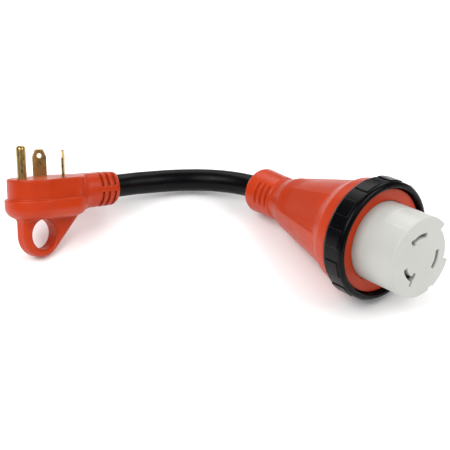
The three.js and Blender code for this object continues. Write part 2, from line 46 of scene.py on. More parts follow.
# ---- where the two ends lie, as in the part's source: millimetres and degrees
PLUG = {"at": (-116.8, 33.9, 46.2), "heading": 44.46, "dip": 21.36, "roll": -22.22}
CONNECTOR = {"at": (123.5, -53.8, 47.5), "heading": -50.5, "dip": -11.5, "roll": 0}
AIM = (5.1, -41.7, 63.24)
CAMERA_FAR = 600
CAMERA_RISE = 37.5
CAMERA_LENS = 79.76

# ---- plug, in its own frame: x towards the cable, z out of the blade face
FACE = {"long": 52, "wide": 38, "deep": 15, "front": 19, "back": 14, "edge": 1.3}
SHELL = {"long": 56, "wide": 42, "top": -14, "bottom": -27, "front": 21, "back": 16}
SHELL_EDGE = 0.9
SHELL_BELLY = 8
# the boot runs on from the block, turned by bend to the side and by tilt upwards
BOOT = {
    "at": (21, 0, -11.4), "bend": 11.7, "tilt": 1.6,
    "long": 35.4, "start": 11.2, "radius": 13.2, "end": 5.2,
}
BOOT_FILLET = 6
SHELL_FILLET = 0.8
BOOT_SLOTS = {"middles": (20.4, 25.1, 29.9), "half": 0.95, "floor": 11.1, "web": 2}
LOOP = {"x": -6, "z": -38.5, "radius": 15, "top": -18, "reach": 30, "half": 5.5, "edge": 2.8, "fillet": 2.5}
HOLE = {"x": -4.8, "z": -38.3, "radius": 10.1, "edge": 2.2}
GROUND_PIN = {"x": -17.8, "radius": 3.15, "high": 21.8, "root": -9}
BLADE = {"x": 6.8, "apart": 25.4, "wide": 9.5, "thick": 1.7, "high": 18, "turned": 45, "hole": 1.5}
BRIDGE = {"x": -4, "long": 39, "wide": 33.4, "front": 16.6, "back": 9, "top": -4, "bottom": -15}
CHAMBER = {"x": 0.5, "long": 47, "wide": 33, "front": 16.4, "back": 9, "bottom": -22}
LEAD_WAY = {"radius": 9.4, "from": -6, "to": 17.4}
# the crimp barrel behind each blade and pin, and the socket for its wires
BARREL = {"radius": 2.6, "long": 7, "socket": 1.95, "floor": 2}
GAP = 0.3
PIN_GAP = 0.1

# ---- cable
JACKET = {"radius": 8, "bore": 6.3, "length": 0.157, "sides": 44}
ROUTE = [
    (-88.5, 51.1, 24.1), (-82.9, 54.9, 22.3), (-77.3, 58.7, 20.5), (-72.5, 61.9, 18.9),
    (-64.9, 66.9, 16.6), (-56.7, 71.3, 14.7), (-47.7, 75.2, 12.9), (-38.6, 78.2, 11.7),
    (-29.4, 80.2, 10.9), (-19.8, 81, 10.6), (-10.5, 80.5, 10.9), (-1.2, 78.7, 11.6),
    (7.6, 75.6, 12.7), (15.8, 71.4, 14.1), (23.3, 66.1, 15.8), (30, 59.6, 17.6),
    (35, 53.6, 19.2), (39.4, 48.3, 20.6), (43.7, 43, 22),
]

# ---- connector, in its own frame: x along the nose, insert face at x = 0
CAP = {"radius": 26, "long": 42, "bore": 20.4, "face": 4, "edge": 1}
SLOT = {"radius": 14.3, "half": 1.35, "arc": 48, "middles": (91, -150, -28)}
# wider places at the slots' ends: radius, half width, middle and arc
SLOT_ENDS = ((12.3, 2, -129, 12), (14.3, 2.2, 116, 8), (17.2, 1.6, -128, 5))
RECESS = {"radius": 21.6, "middle": 2.5, "arc": 59, "long": 15, "tail": 16, "tail_half": 0.75}
KEYWAY = {"radius": 27.2, "half": 2.8, "middle": -75, "arc": 9, "long": 10}
# a shallow panel sunk into the side of the insert, next to its face
PANEL = {"middle": 91, "half": 22, "back": -18.5, "deep": 0.35}
RING = {
    "radius": 39.5, "bore": 34.8, "lip": 31, "lip_thick": 2.4,
    "front": -29.8, "back": -46.1,
}
PADS = {
    "count": 12, "first": 5.5, "arc": 17, "proud": 0.6,
    "from_back": 2.2, "from_front": 3,
}
SCREWS = {"angles": (152, 52, -92), "circle": 23.2, "hole": 1.8, "long": 12}
THREAD = {"turns": 2.2, "pitch": 2.8, "ridge": 0.5, "start": -42.3}

# ---- room: how strongly the world lights pale things, and how strong it is in reflections
WORLD = {"lights": 0.8, "mirrors": 0.1}
FLOOR_HALF = 3.0


# ---- making tools ------------------------------------------------------------------------------
def lying(at, heading, dip, roll):
    """The matrix from an end's own frame, in millimetres, to the model's, in metres."""
    turn = Euler([math.radians(angle) for angle in (roll, dip, heading)]).to_matrix().to_4x4()
    return Matrix.Translation(Vector(at) * MM) @ turn @ Matrix.Scale(MM, 4)


IN_PLUG = lying(**PLUG)
IN_CONNECTOR = lying(**CONNECTOR)
IN_MODEL = Matrix.Scale(MM, 4)


def bare_mesh(name, points, faces):
    mesh = bpy.data.meshes.new(name)
    mesh.from_pydata([tuple(point) for point in points], [], [tuple(face) for face in faces])
    return mesh


def as_piece(name, points, faces, place, material):
    """A shaded-smooth mesh object from points in an end's own frame."""
    return mesh_piece(name, bare_mesh(name, points, faces), place, material)


def mesh_piece(name, mesh, place, material):
    """Merges doubles, turns faces outwards and links the mesh as an object at the origin."""
    shape = bmesh.new()
    shape.from_mesh(mesh)
    bmesh.ops.remove_doubles(shape, verts=shape.verts, dist=1e-4)
    bmesh.ops.recalc_face_normals(shape, faces=shape.faces)
    shape.to_mesh(mesh)
    shape.free()
    mesh.transform(place)
    mesh.polygons.foreach_set("use_smooth", [True] * len(mesh.polygons))
    mesh.materials.append(material)
    piece = bpy.data.objects.new(name, mesh)
    bpy.context.scene.collection.objects.link(piece)
    return piece


def finished(piece, body, node):
    """Fastens a piece to its body and hides the CAD node that it stands for."""
    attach(piece, body)
    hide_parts(node)


def rounded(a, b, radius):
    """Where both a and b are below zero, with the edge between them rounded."""
    a, b = a + radius, b + radius
    return np.minimum(np.maximum(a, b), 0) + np.hypot(np.maximum(a, 0), np.maximum(b, 0)) - radius


def merged(a, b, radius):
    """Where a or b is below zero, with a fillet along their meeting line."""
    near = np.maximum(radius - np.abs(a - b), 0) / radius
    return np.minimum(a, b) - near * near * radius / 4


def carved(a, b, radius):
    """Where a is below zero and b is not, with a softened edge."""
    return -merged(-a, b, radius)


def plan(x, y, long, wide, front, back):
    """Distance to a rectangle with one corner radius at the front and one at the back."""
    radius = np.where(x < 0, front, back)
    return rounded(np.abs(x) - long / 2, np.abs(y) - wide / 2, radius)


def outline_distance(x, z, corners):
    """Signed distance to a closed outline of straight sides."""
    nearest = np.full(np.broadcast(x, z).shape, 1e9)
    within = np.zeros(nearest.shape, bool)
    for (ax, az), (bx, bz) in zip(corners, corners[1:] + corners[:1]):
        side_x, side_z = bx - ax, bz - az
        share = ((x - ax) * side_x + (z - az) * side_z) / (side_x**2 + side_z**2)
        share = np.clip(share, 0, 1)
        away = (x - ax - side_x * share) ** 2 + (z - az - side_z * share) ** 2
        nearest = np.minimum(nearest, away)
        if az != bz:
            beside = x < ax + (z - az) * side_x / side_z
            within ^= ((az > z) != (bz > z)) & beside
    return np.sqrt(nearest) * np.where(within, -1, 1)


def skin(field, low, high, step):
    """Points and quads of the surface where the field is zero, the points settled onto it."""
    axes = [np.arange(a, b + step, step) for a, b in zip(low, high)]
    count = [len(axis) for axis in axes]
    values = field(axes[0][:, None, None], axes[1][None, :, None], axes[2][None, None, :])
    values = np.broadcast_to(values, count)
    cells, crossings = [], []
    for a in range(3):
        near, far = [slice(None)] * 3, [slice(None)] * 3
        near[a], far[a] = slice(0, -1), slice(1, None)
        first, second = values[tuple(near)], values[tuple(far)]
        index = np.argwhere((first < 0) != (second < 0))
        start, end = first[tuple(index.T)], second[tuple(index.T)]
        crossing = index.astype(float)
        crossing[:, a] += start / (start - end)
        corners = []
        for back_b, back_c in ((0, 0), (1, 0), (1, 1), (0, 1)):
            cell = index.copy()
            cell[:, (a + 1) % 3] -= back_b
            cell[:, (a + 2) % 3] -= back_c
            corners.append(np.ravel_multi_index(tuple(cell.T), count))
        quad = np.stack(corners, 1)
        quad[start > 0] = quad[start > 0][:, ::-1]
        cells.append(quad)
        crossings.append(np.repeat(crossing, 4, axis=0))
    quads = np.concatenate(cells)
    crossings = np.concatenate(crossings)
    used, corner = np.unique(quads.ravel(), return_inverse=True)
    corner = corner.ravel()
    share = np.bincount(corner).astype(float)
    points = np.stack([np.bincount(corner, crossings[:, a]) / share for a in range(3)], 1)
    points = points * step + np.array([axis[0] for axis in axes])
    return settled(field, points, step), corner.reshape(-1, 4)


def settled(field, points, step):
    """Moves points onto the field's zero, along its slope."""
    reach = step / 10
    for _ in range(4):
        value = field(*points.T)
        slope = []
        for a in range(3):
            ahead, behind = points.copy(), points.copy()
            ahead[:, a] += reach
            behind[:, a] -= reach
            slope.append((field(*ahead.T) - field(*behind.T)) / (2 * reach))
        slope = np.stack(slope, 1)
        steep = np.maximum((slope**2).sum(1), 0.25)
        move = slope * (value / steep)[:, None]
        points = points - np.clip(move, -step / 2, step / 2)
    return points


def softened(corners, arc=5):
    """A closed outline of (x, radius, fillet) corners with each corner rounded by its fillet."""
    points = []
    for i, (x, radius, fillet) in enumerate(corners):
        here = Vector((x, radius))
        before = (Vector(corners[i - 1][:2]) - here).normalized()
        after = (Vector(corners[(i + 1) % len(corners)][:2]) - here).normalized()
        if not fillet:
            points.append(here)
            continue
        half = before.angle(after) / 2
        centre = here + (before + after).normalized() * (fillet / math.sin(half))
        start = here + before * (fillet / math.tan(half)) - centre
        end = here + after * (fillet / math.tan(half)) - centre
        for k in range(arc + 1):
            spoke = start.lerp(end, k / arc).normalized() * fillet
            points.append(centre + spoke)
    return points


def dense(points, longest):
    """The outline with its long sides cut up, so that none is longer than longest(x)."""
    result = []
    for here, there in zip(points, points[1:] + points[:1]):
        parts = max(1, math.ceil((there - here).length / longest((here.x + there.x) / 2)))
        result += [here.lerp(there, k / parts) for k in range(parts)]
    return result


def turned(section, sides, relief=None):
    """Points and quads of a section turned about x; relief(x, radius, angle) adds to a radius."""
    section = np.array([tuple(point) for point in section])
    angle = np.arange(sides) * 2 * math.pi / sides
    x = np.repeat(section[:, :1], sides, axis=1)
    radius = np.repeat(section[:, 1:], sides, axis=1)
    if relief is not None:
        radius = radius + relief(x, radius, np.degrees(angle)[None, :])
    points = np.stack([x, radius * np.cos(angle), radius * np.sin(angle)], 2).reshape(-1, 3)
    ring, side = np.meshgrid(np.arange(len(section)), np.arange(sides), indexing="ij")
    next_ring, next_side = (ring + 1) % len(section), (side + 1) % sides
    corners = [ring * sides + side, next_ring * sides + side]
    corners += [next_ring * sides + next_side, ring * sides + next_side]
    return points, np.stack(corners, 2).reshape(-1, 4)


def ramp(value, start, end):
    """0 before start, 1 after end, with a smooth rise between them."""
    share = np.clip((value - start) / (end - start), 0, 1)
    return share * share * (3 - 2 * share)


def angle_from(angle, middle):
    """How far an angle is from middle, in degrees, without a sign."""
    return np.abs((angle - middle + 180) % 360 - 180)


# ---- finishes ----------------------------------------------------------------------------------
class Finish:
    """A material's nodes, added one at a time with short calls."""

    def __init__(self, name, **constants):
        self.material = bpy.data.materials.new(name)
        self.material.use_nodes = True
        self.tree = self.material.node_tree
        self.shader = self.tree.nodes["Principled BSDF"]
        for socket, value in constants.items():
            self.shader.inputs[socket.replace("_", " ")].default_value = value
        self.place = self.add("ShaderNodeTexCoord").outputs["Object"]

    def add(self, kind, **inputs):
        node = self.tree.nodes.new(kind)
        for name, value in inputs.items():
            self.plug(value, node.inputs[name.replace("_", " ")])
        return node

    def plug(self, value, socket):
        if isinstance(value, bpy.types.NodeSocket):
            self.tree.links.new(value, socket)
        else:
            socket.default_value = value

    def noise(self, scale, detail=3.0, roughness=0.55, stretch=None):
        place = self.place
        if stretch is not None:
            place = self.add("ShaderNodeMapping", Vector=place, Scale=stretch).outputs["Vector"]
        node = self.add("ShaderNodeTexNoise", Vector=place, Scale=scale, Detail=detail, Roughness=roughness)
        return node.outputs["Fac"]

    def between(self, value, low, high, start=0.0, end=1.0):
        node = self.add("ShaderNodeMapRange", Value=value, From_Min=low, From_Max=high)
        node.inputs["To Min"].default_value = start
        node.inputs["To Max"].default_value = end
        return node.outputs["Result"]

    def mixed(self, share, first, second):
        node = self.tree.nodes.new("ShaderNodeMix")
        node.data_type = "RGBA"
        self.plug(share, node.inputs["Factor"])
        colours = [socket for socket in node.inputs if socket.type == "RGBA"]
        self.plug(first, colours[0])
        self.plug(second, colours[1])
        return [socket for socket in node.outputs if socket.type == "RGBA"][0]

    def bumps(self, *layers):
        """Layers of (height, strength, depth in metres), one on top of another."""
        normal = None
        for height, strength, depth in layers:
            node = self.add("ShaderNodeBump", Height=height, Strength=strength, Distance=depth)
            if normal is not None:
                self.tree.links.new(normal, node.inputs["Normal"])
            normal = node.outputs["Normal"]
        self.tree.links.new(normal, self.shader.inputs["Normal"])

    def edges(self, low, high):
        """Grows from 0 to 1 on outward edges."""
        pointiness = self.add("ShaderNodeNewGeometry").outputs["Pointiness"]
        return self.between(pointiness, low, high)


def moulded_plastic(name, colour, rough=0.4, shade=0.8, worn=None, grain=0.25, gloss=0.4):
    """A moulded thermoplastic: cloudy colour, a fine eggshell grain, dull rubbed edges.

    Shade is how much darker its dark clouds are, grain how rough its skin feels.
    """
    finish = Finish(name, IOR=1.5, Specular_IOR_Level=gloss)
    dark = (*[c * shade for c in colour], 1)
    clouds = finish.between(finish.noise(28, 2), 0.35, 0.65)
    tint = finish.mixed(clouds, dark, (*colour, 1))
    specks = finish.between(finish.noise(900, 2), 0.62, 0.8, 0, 0.35)
    tint = finish.mixed(specks, tint, (*[c * shade * 0.8 for c in colour], 1))
    if worn is not None:
        rubbed = finish.add("ShaderNodeMath")
        rubbed.operation = "MULTIPLY"
        finish.plug(finish.edges(0.52, 0.6), rubbed.inputs[0])
        finish.plug(finish.between(finish.noise(120, 4), 0.4, 0.7), rubbed.inputs[1])
        tint = finish.mixed(rubbed.outputs[0], tint, (*worn, 1))
    finish.plug(tint, finish.shader.inputs["Base Color"])
    scuffs = finish.noise(60, 5, 0.65)
    dullness = finish.between(scuffs, 0.3, 0.7, rough - 0.05, rough + 0.09)
    finish.plug(dullness, finish.shader.inputs["Roughness"])
    finish.bumps(
        (finish.noise(35, 2), 0.12, 0.0006),
        (finish.noise(1500, 3), grain, 0.00006),
    )
    return finish.material


def bare_metal(name, colour, rough, stain, stretch=(1, 1, 1)):
    """Rolled or drawn metal: fine draw lines, dull stains and softly rubbed edges."""
    finish = Finish(name, Metallic=1.0)
    patches = finish.between(finish.noise(90, 5, 0.6), 0.42, 0.72)
    tint = finish.mixed(patches, (*colour, 1), (*stain, 1))
    bright = (*[min(1, c * 1.35) for c in colour], 1)
    tint = finish.mixed(finish.edges(0.53, 0.62), tint, bright)
    finish.plug(tint, finish.shader.inputs["Base Color"])
    lines = finish.noise(700, 3, 0.5, stretch)
    dullness = finish.between(lines, 0.3, 0.7, rough - 0.06, rough + 0.1)
    finish.plug(dullness, finish.shader.inputs["Roughness"])
    finish.bumps((lines, 0.08, 0.00003))
    return finish.material


def stranded_copper():
    """Copper wires lying side by side, with painted shade as dark lines between them."""
    finish = Finish("stranded_copper", Metallic=1.0)
    wires = finish.noise(1300, 2, 0.5, (1, 0.2, 0.2))
    # the dark copper colour is painted shade in the gaps between the strands, not a darker metal
    tint = finish.mixed(finish.between(wires, 0.35, 0.65), (0.32, 0.1, 0.04, 1), (0.85, 0.38, 0.2, 1))
    finish.plug(tint, finish.shader.inputs["Base Color"])
    finish.plug(finish.between(finish.noise(200), 0.3, 0.7, 0.28, 0.45), finish.shader.inputs["Roughness"])
    finish.bumps((wires, 0.6, 0.0002))
    return finish.material


def pale_floor():
    finish = Finish("pale_floor", Roughness=0.9)
    clouds = finish.between(finish.noise(6, 2), 0.3, 0.7)
    tint = finish.mixed(clouds, (0.9, 0.9, 0.9, 1), (0.93, 0.93, 0.93, 1))
    finish.plug(tint, finish.shader.inputs["Base Color"])
    return finish.material


RED_PVC = moulded_plastic(
    "red_pvc", (0.43, 0.03, 0.0012), rough=0.34, shade=0.86,
    worn=(0.48, 0.05, 0.01), grain=0.2, gloss=0.25,
)
BLACK_NYLON = moulded_plastic(
    "black_nylon", (0.0012, 0.0012, 0.002), rough=0.28, shade=0.7,
    worn=(0.008, 0.008, 0.011), grain=0.25, gloss=0.12,
)
WHITE_NYLON = moulded_plastic(
    "white_nylon", (0.44, 0.44, 0.415), rough=0.36, shade=0.95,
    worn=(0.5, 0.49, 0.47), grain=0.2, gloss=0.5,
)
CABLE_RUBBER = moulded_plastic(
    "cable_rubber", (0.0012, 0.0012, 0.002), rough=0.34, shade=0.7, grain=0.45, gloss=0.12,
)
BLACK_INSULATION = moulded_plastic("black_insulation", (0.01, 0.01, 0.01))
WHITE_INSULATION = moulded_plastic("white_insulation", (0.7, 0.7, 0.68), shade=0.93)
GREEN_INSULATION = moulded_plastic("green_insulation", (0.03, 0.22, 0.05))
BRASS = bare_metal("brass", (0.6, 0.42, 0.17), 0.3, (0.46, 0.3, 0.11), (1, 1, 0.08))
NICKEL = bare_metal("nickel", (0.62, 0.6, 0.56), 0.28, (0.42, 0.4, 0.37))
COPPER = bare_metal("copper", (0.8, 0.36, 0.2), 0.3, (0.4, 0.14, 0.07))
STRANDS = stranded_copper()


# ---- camera and cable --------------------------------------------------------------------------
def set_camera():
    rise = math.radians(CAMERA_RISE)
    data = bpy.data.cameras.new("camera")
    data.lens = CAMERA_LENS
    camera = bpy.data.objects.new("camera", data)
    back = Vector((0, -math.cos(rise), math.sin(rise)))
    camera.location = (Vector(AIM) + back * CAMERA_FAR) * MM
    camera.rotation_euler = (math.pi / 2 - rise, 0, 0)
    bpy.context.scene.collection.objects.link(camera)
    bpy.context.scene.camera = camera


def smooth_line(points, parts):
    """A smooth line through every point, each span cut into parts."""
    points = np.array(points, float)
    ends = [2 * points[0] - points[1]], [2 * points[-1] - points[-2]]
    full = np.concatenate([ends[0], points, ends[1]])
    line = []
    for a, b, c, d in zip(full, full[1:], full[2:], full[3:]):
        for t in np.arange(parts) / parts:
            line.append(0.5 * (2 * b + (c - a) * t + (2 * a - 5 * b + 4 * c - d) * t**2
                               + (3 * b - a - 3 * c + d) * t**3))
    return np.array(line + [points[-1]])


def rings_along(line, radius, sides):
    """Circles square to a line, turned no more than it bends."""
    ahead = np.gradient(line, axis=0)
    ahead /= np.linalg.norm(ahead, axis=1)[:, None]
    across = np.cross(ahead[0], (0, 0, 1.0))
    rings = []
    for point, tangent in zip(line, ahead):
        across = across - tangent * across.dot(tangent)
        across /= np.linalg.norm(across)
        other = np.cross(tangent, across)
        angle = np.arange(sides)[:, None] * 2 * math.pi / sides
        rings.append(point + radius * (across * np.cos(angle) + other * np.sin(angle)))
    return np.array(rings)


def cable_jacket():
    """The jacket: a tube with a wall, open at both ends for the conductors."""
    line = smooth_line(ROUTE, 6)
    sides = JACKET["sides"]
    outer = rings_along(line, JACKET["radius"], sides)
    inner = rings_along(line, JACKET["bore"], sides)[::-1]
    shell = np.concatenate([outer, inner])
    count = len(shell)
    ring, side = np.meshgrid(np.arange(count), np.arange(sides), indexing="ij")
    corners = [ring * sides + side, (ring + 1) % count * sides + side]
    corners += [(ring + 1) % count * sides + (side + 1) % sides, ring * sides + (side + 1) % sides]
    faces = np.stack(corners, 2).reshape(-1, 4)
    piece = as_piece("cable_jacket_v", shell.reshape(-1, 3), faces, IN_MODEL, CABLE_RUBBER)
    finished(piece, "root", "cable_jacket")


set_camera()
cable_jacket()


# ---- plug --------------------------------------------------------------------------------------
def loop_outline():
    """A round eye, and a web from it that slants up to the boot."""
    x, z, radius, reach = LOOP["x"], LOOP["z"], LOOP["radius"], LOOP["reach"]
    slant = z - radius * math.sqrt(2) + reach - x
    corners = [(x - radius, LOOP["top"]), (reach, LOOP["top"]), (reach, slant)]
    for angle in np.radians(np.linspace(-45, -180, 28)):
        corners.append((x + radius * math.cos(angle), z + radius * math.sin(angle)))
    return corners


LOOP_OUTLINE = loop_outline()


def finger_hole(x, z):
    return np.hypot(x - HOLE["x"], z - HOLE["z"]) - HOLE["radius"]


def in_boot(x, y, z):
    """A point in the boot's own frame: along it, out from its axis and up from it."""
    bend, tilt = math.radians(BOOT["bend"]), math.radians(BOOT["tilt"])
    x, y, z = x - BOOT["at"][0], y - BOOT["at"][1], z - BOOT["at"][2]
    ahead = x * math.cos(bend) - y * math.sin(bend)
    aside = x * math.sin(bend) + y * math.cos(bend)
    along = ahead * math.cos(tilt) + z * math.sin(tilt)
    up = z * math.cos(tilt) - ahead * math.sin(tilt)
    return along, np.hypot(aside, up), up


def boot_field(x, y, z):
    along, out, up = in_boot(x, y, z)
    radius = BOOT["start"] + (BOOT["radius"] - BOOT["start"]) * ramp(along, -1, 13)
    side = np.where(along < 0, np.hypot(along, out), out) - radius
    return rounded(side, along - BOOT["long"], BOOT["end"])


def slots_field(x, y, z):
    """Three rings of slots near the boot's end, broken by a web on either side."""
    along, out, up = in_boot(x, y, z)
    slots = np.full(np.broadcast(along, out).shape, 1e3)
    for middle in BOOT_SLOTS["middles"]:
        band = np.maximum(np.abs(along - middle) - BOOT_SLOTS["half"], BOOT_SLOTS["floor"] - out)
        slots = np.minimum(slots, np.maximum(band, BOOT_SLOTS["web"] - np.abs(up)))
    return slots


def blade_slab(x, y, z, side, clearance):
    """The room that one of the two blades needs in the face."""
    turn = math.radians(side * BLADE["turned"])
    x, y = x - BLADE["x"], y - side * BLADE["apart"] / 2
    a = x * math.cos(turn) - y * math.sin(turn)
    b = x * math.sin(turn) + y * math.cos(turn)
    flat = np.maximum(np.abs(a) - BLADE["wide"] / 2, np.abs(b) - BLADE["thick"] / 2) - clearance
    return np.maximum(flat, GROUND_PIN["root"] - z)


def plug_field(x, y, z):
    face = plan(x, y, FACE["long"], FACE["wide"], FACE["front"], FACE["back"])
    face = rounded(face, np.maximum(z, -FACE["deep"] - z), FACE["edge"])
    shell = plan(x, y, SHELL["long"], SHELL["wide"], SHELL["front"], SHELL["back"])
    shell = rounded(shell, SHELL["bottom"] - z, SHELL_BELLY)
    shell = rounded(shell, z - SHELL["top"], SHELL_EDGE)
    body = merged(face, shell, SHELL_FILLET)
    loop = rounded(outline_distance(x, z, LOOP_OUTLINE), np.abs(y) - LOOP["half"], LOOP["edge"])
    body = merged(body, loop, LOOP["fillet"])
    body = merged(body, boot_field(x, y, z), BOOT_FILLET)
    body = rounded(body, z, FACE["edge"])
    body = carved(body, slots_field(x, y, z), 0.6)
    body = carved(body, finger_hole(x, z), HOLE["edge"])
    # inside: room for the bridge, the leads and the end of the jacket
    long, wide = BRIDGE["long"] + 2 * GAP, BRIDGE["wide"] + 2 * GAP
    room = plan(x - BRIDGE["x"], y, long, wide, BRIDGE["front"], BRIDGE["back"])
    room = np.maximum(room, np.maximum(z - BRIDGE["top"] - GAP, BRIDGE["bottom"] - 1 - z))
    long, wide = CHAMBER["long"], CHAMBER["wide"]
    chamber = plan(x - CHAMBER["x"], y, long, wide, CHAMBER["front"], CHAMBER["back"])
    chamber = np.maximum(chamber, np.maximum(z - BRIDGE["bottom"], CHAMBER["bottom"] - z))
    along, out, up = in_boot(x, y, z)
    bore = np.maximum(out - JACKET["radius"] - GAP, LEAD_WAY["to"] - 2 - along)
    lead = np.maximum(out - LEAD_WAY["radius"], np.maximum(LEAD_WAY["from"] - along, along - LEAD_WAY["to"]))
    inside = np.minimum(np.minimum(room, chamber), np.minimum(bore, lead))
    pin = np.hypot(x - GROUND_PIN["x"], y) - GROUND_PIN["radius"] - PIN_GAP
    pin = np.maximum(pin, GROUND_PIN["root"] - z)
    inside = np.minimum(inside, pin)
    for side in (-1, 1):
        inside = np.minimum(inside, blade_slab(x, y, z, side, PIN_GAP))
    return carved(body, inside, 0.5)


def plug_body():
    points, faces = skin(plug_field, (-32, -24, -57), (61, 23, 4), 0.55)
    piece = as_piece("plug_body_v", points, faces, IN_PLUG, RED_PVC)
    finished(piece, "root", "plug_body")


def blade_field(x, y, z):
    """One folded-brass blade with corner cuts and a hole, and its crimp barrel behind."""
    tip = BLADE["high"]
    half = BLADE["wide"] / 2
    outline = [(-half, GROUND_PIN["root"]), (half, GROUND_PIN["root"]), (half, tip - 5)]
    outline += [(half - 1.8, tip - 0.5), (half - 2.4, tip), (2.4 - half, tip)]
    outline += [(1.8 - half, tip - 0.5), (-half, tip - 5)]
    flat = outline_distance(x, z, outline)
    flat = carved(flat, np.hypot(x, z - tip + 4.4) - BLADE["hole"], 0.3)
    blade = rounded(flat, np.abs(y) - BLADE["thick"] / 2, 0.35)
    root = GROUND_PIN["root"]
    out = np.hypot(x, y)
    barrel = np.maximum(out - BARREL["radius"], np.maximum(root - BARREL["long"] - z, z - root - 0.6))
    socket = np.maximum(out - BARREL["socket"], z - root + BARREL["floor"])
    return carved(merged(blade, barrel, 0.4), socket, 0.2)


def blades():
    points, faces = skin(blade_field, (-6, -3.5, -17), (6, 3.5, 19), 0.28)
    for name, side in (("blade_line", -1), ("blade_neutral", 1)):
        shift = Matrix.Translation((BLADE["x"], side * BLADE["apart"] / 2, 0))
        turn = Matrix.Rotation(math.radians(-side * BLADE["turned"]), 4, "Z")
        piece = as_piece(f"{name}_v", points, faces, IN_PLUG @ shift @ turn, BRASS)
        finished(piece, "root", name)


def ground_pin():
    high, radius, root = GROUND_PIN["high"], GROUND_PIN["radius"], GROUND_PIN["root"]
    barrel, socket = BARREL["radius"], BARREL["socket"]
    end, floor = root - BARREL["long"], root - BARREL["floor"]
    axis = 0.02
    section = softened([
        (end, socket, 0), (end, barrel, 0.3), (root, barrel, 0), (root, radius, 0.2),
        (high, radius, 2.6), (high, axis, 0), (floor, axis, 0), (floor, socket, 0),
    ], 8)
    points, faces = turned(dense(section, lambda x: 2), 48)
    upright = Matrix.Rotation(-math.pi / 2, 4, "Y")
    upright = Matrix.Translation((GROUND_PIN["x"], 0, 0)) @ upright
    piece = as_piece("ground_pin_v", points, faces, IN_PLUG @ upright, BRASS)
    finished(piece, "root", "ground_pin")


# ---- connector ---------------------------------------------------------------------------------
BODY_SECTION = [
    (-150, 8.3, 0.6), (-150, 15.9, 3.8), (-125.2, 15.2, 1), (-123.8, 14.6, 0.8), (-120.5, 15.2, 2),
    (-112.6, 18.5, 4), (-61.5, 31.6, 8), (-55.5, 35, 6), (-48, 36.6, 2),
    (-46.4, 36.2, 0.6), (-46.4, 30, 0.4), (-36.2, 30, 0.4), (-36.2, 34, 0.4), (-33, 34, 0.5),
    (-33, 26.3, 0.3), (-61, 26.3, 0.5), (-63, 25, 1), (-80, 23, 2), (-124, 11.5, 2), (-127.7, 8.3, 0.5),
]
COLLAR_SLOTS = {
    "middles": (-137.8, -132.6, -127.8), "half": 1.0, "deep": 2.0,
    "angles": (152, -28), "arc": 29,
}
GRIP_FLATS = {
    "angles": (139, 88, -41, -92), "half": 25.5,
    "from": -107, "to": -60, "deep": 0.3, "flat": 0.9,
}


def body_relief(x, radius, angle):
    """Arc slots in the collar and four long shallow flats on the grip."""
    outside = radius > np.interp(x, (-150, -128, -124, -80, -60), (12, 13, 14, 25, 30))
    change = np.zeros(np.broadcast(x, angle).shape)
    flats = change.copy()
    half = COLLAR_SLOTS["half"]
    for side in COLLAR_SLOTS["angles"]:
        away = angle_from(angle, side)
        deep = COLLAR_SLOTS["deep"] * (1 - ramp(away, COLLAR_SLOTS["arc"] - 4, COLLAR_SLOTS["arc"] + 2))
        for middle in COLLAR_SLOTS["middles"]:
            change = change - deep * (1 - ramp(np.abs(x - middle), half * 0.6, half * 1.3))
    for side in GRIP_FLATS["angles"]:
        away = angle_from(angle, side)
        step = 1 - ramp(away, GRIP_FLATS["half"] - 1.1, GRIP_FLATS["half"] + 0.4)
        bow = np.clip(1 - (away / GRIP_FLATS["half"]) ** 2, 0, 1)
        ends = ramp(x, GRIP_FLATS["from"] - 6, GRIP_FLATS["from"] + 6)
        ends = ends * (1 - ramp(x, GRIP_FLATS["to"] - 5, GRIP_FLATS["to"]))
        flats = np.maximum(flats, (GRIP_FLATS["deep"] * step + GRIP_FLATS["flat"] * bow) * ends)
    return np.where(outside, change - flats, 0)


def connector_body():
    section = dense(softened(BODY_SECTION), lambda x: 0.35 if -141 < x < -125 else 1.4)
    points, faces = turned(section, 300, body_relief)
    piece = as_piece("connector_body_v", points, faces, IN_CONNECTOR, RED_PVC)
    finished(piece, "root", "connector_body")


def arc_slot(out, angle, radius, half, middle, arc):
    """Distance to an arc-shaped slot about the nose's axis."""
    along = (angle_from(angle, middle) - arc / 2) * math.pi / 180 * radius
    return rounded(np.abs(out - radius) - half, along, 0.5)


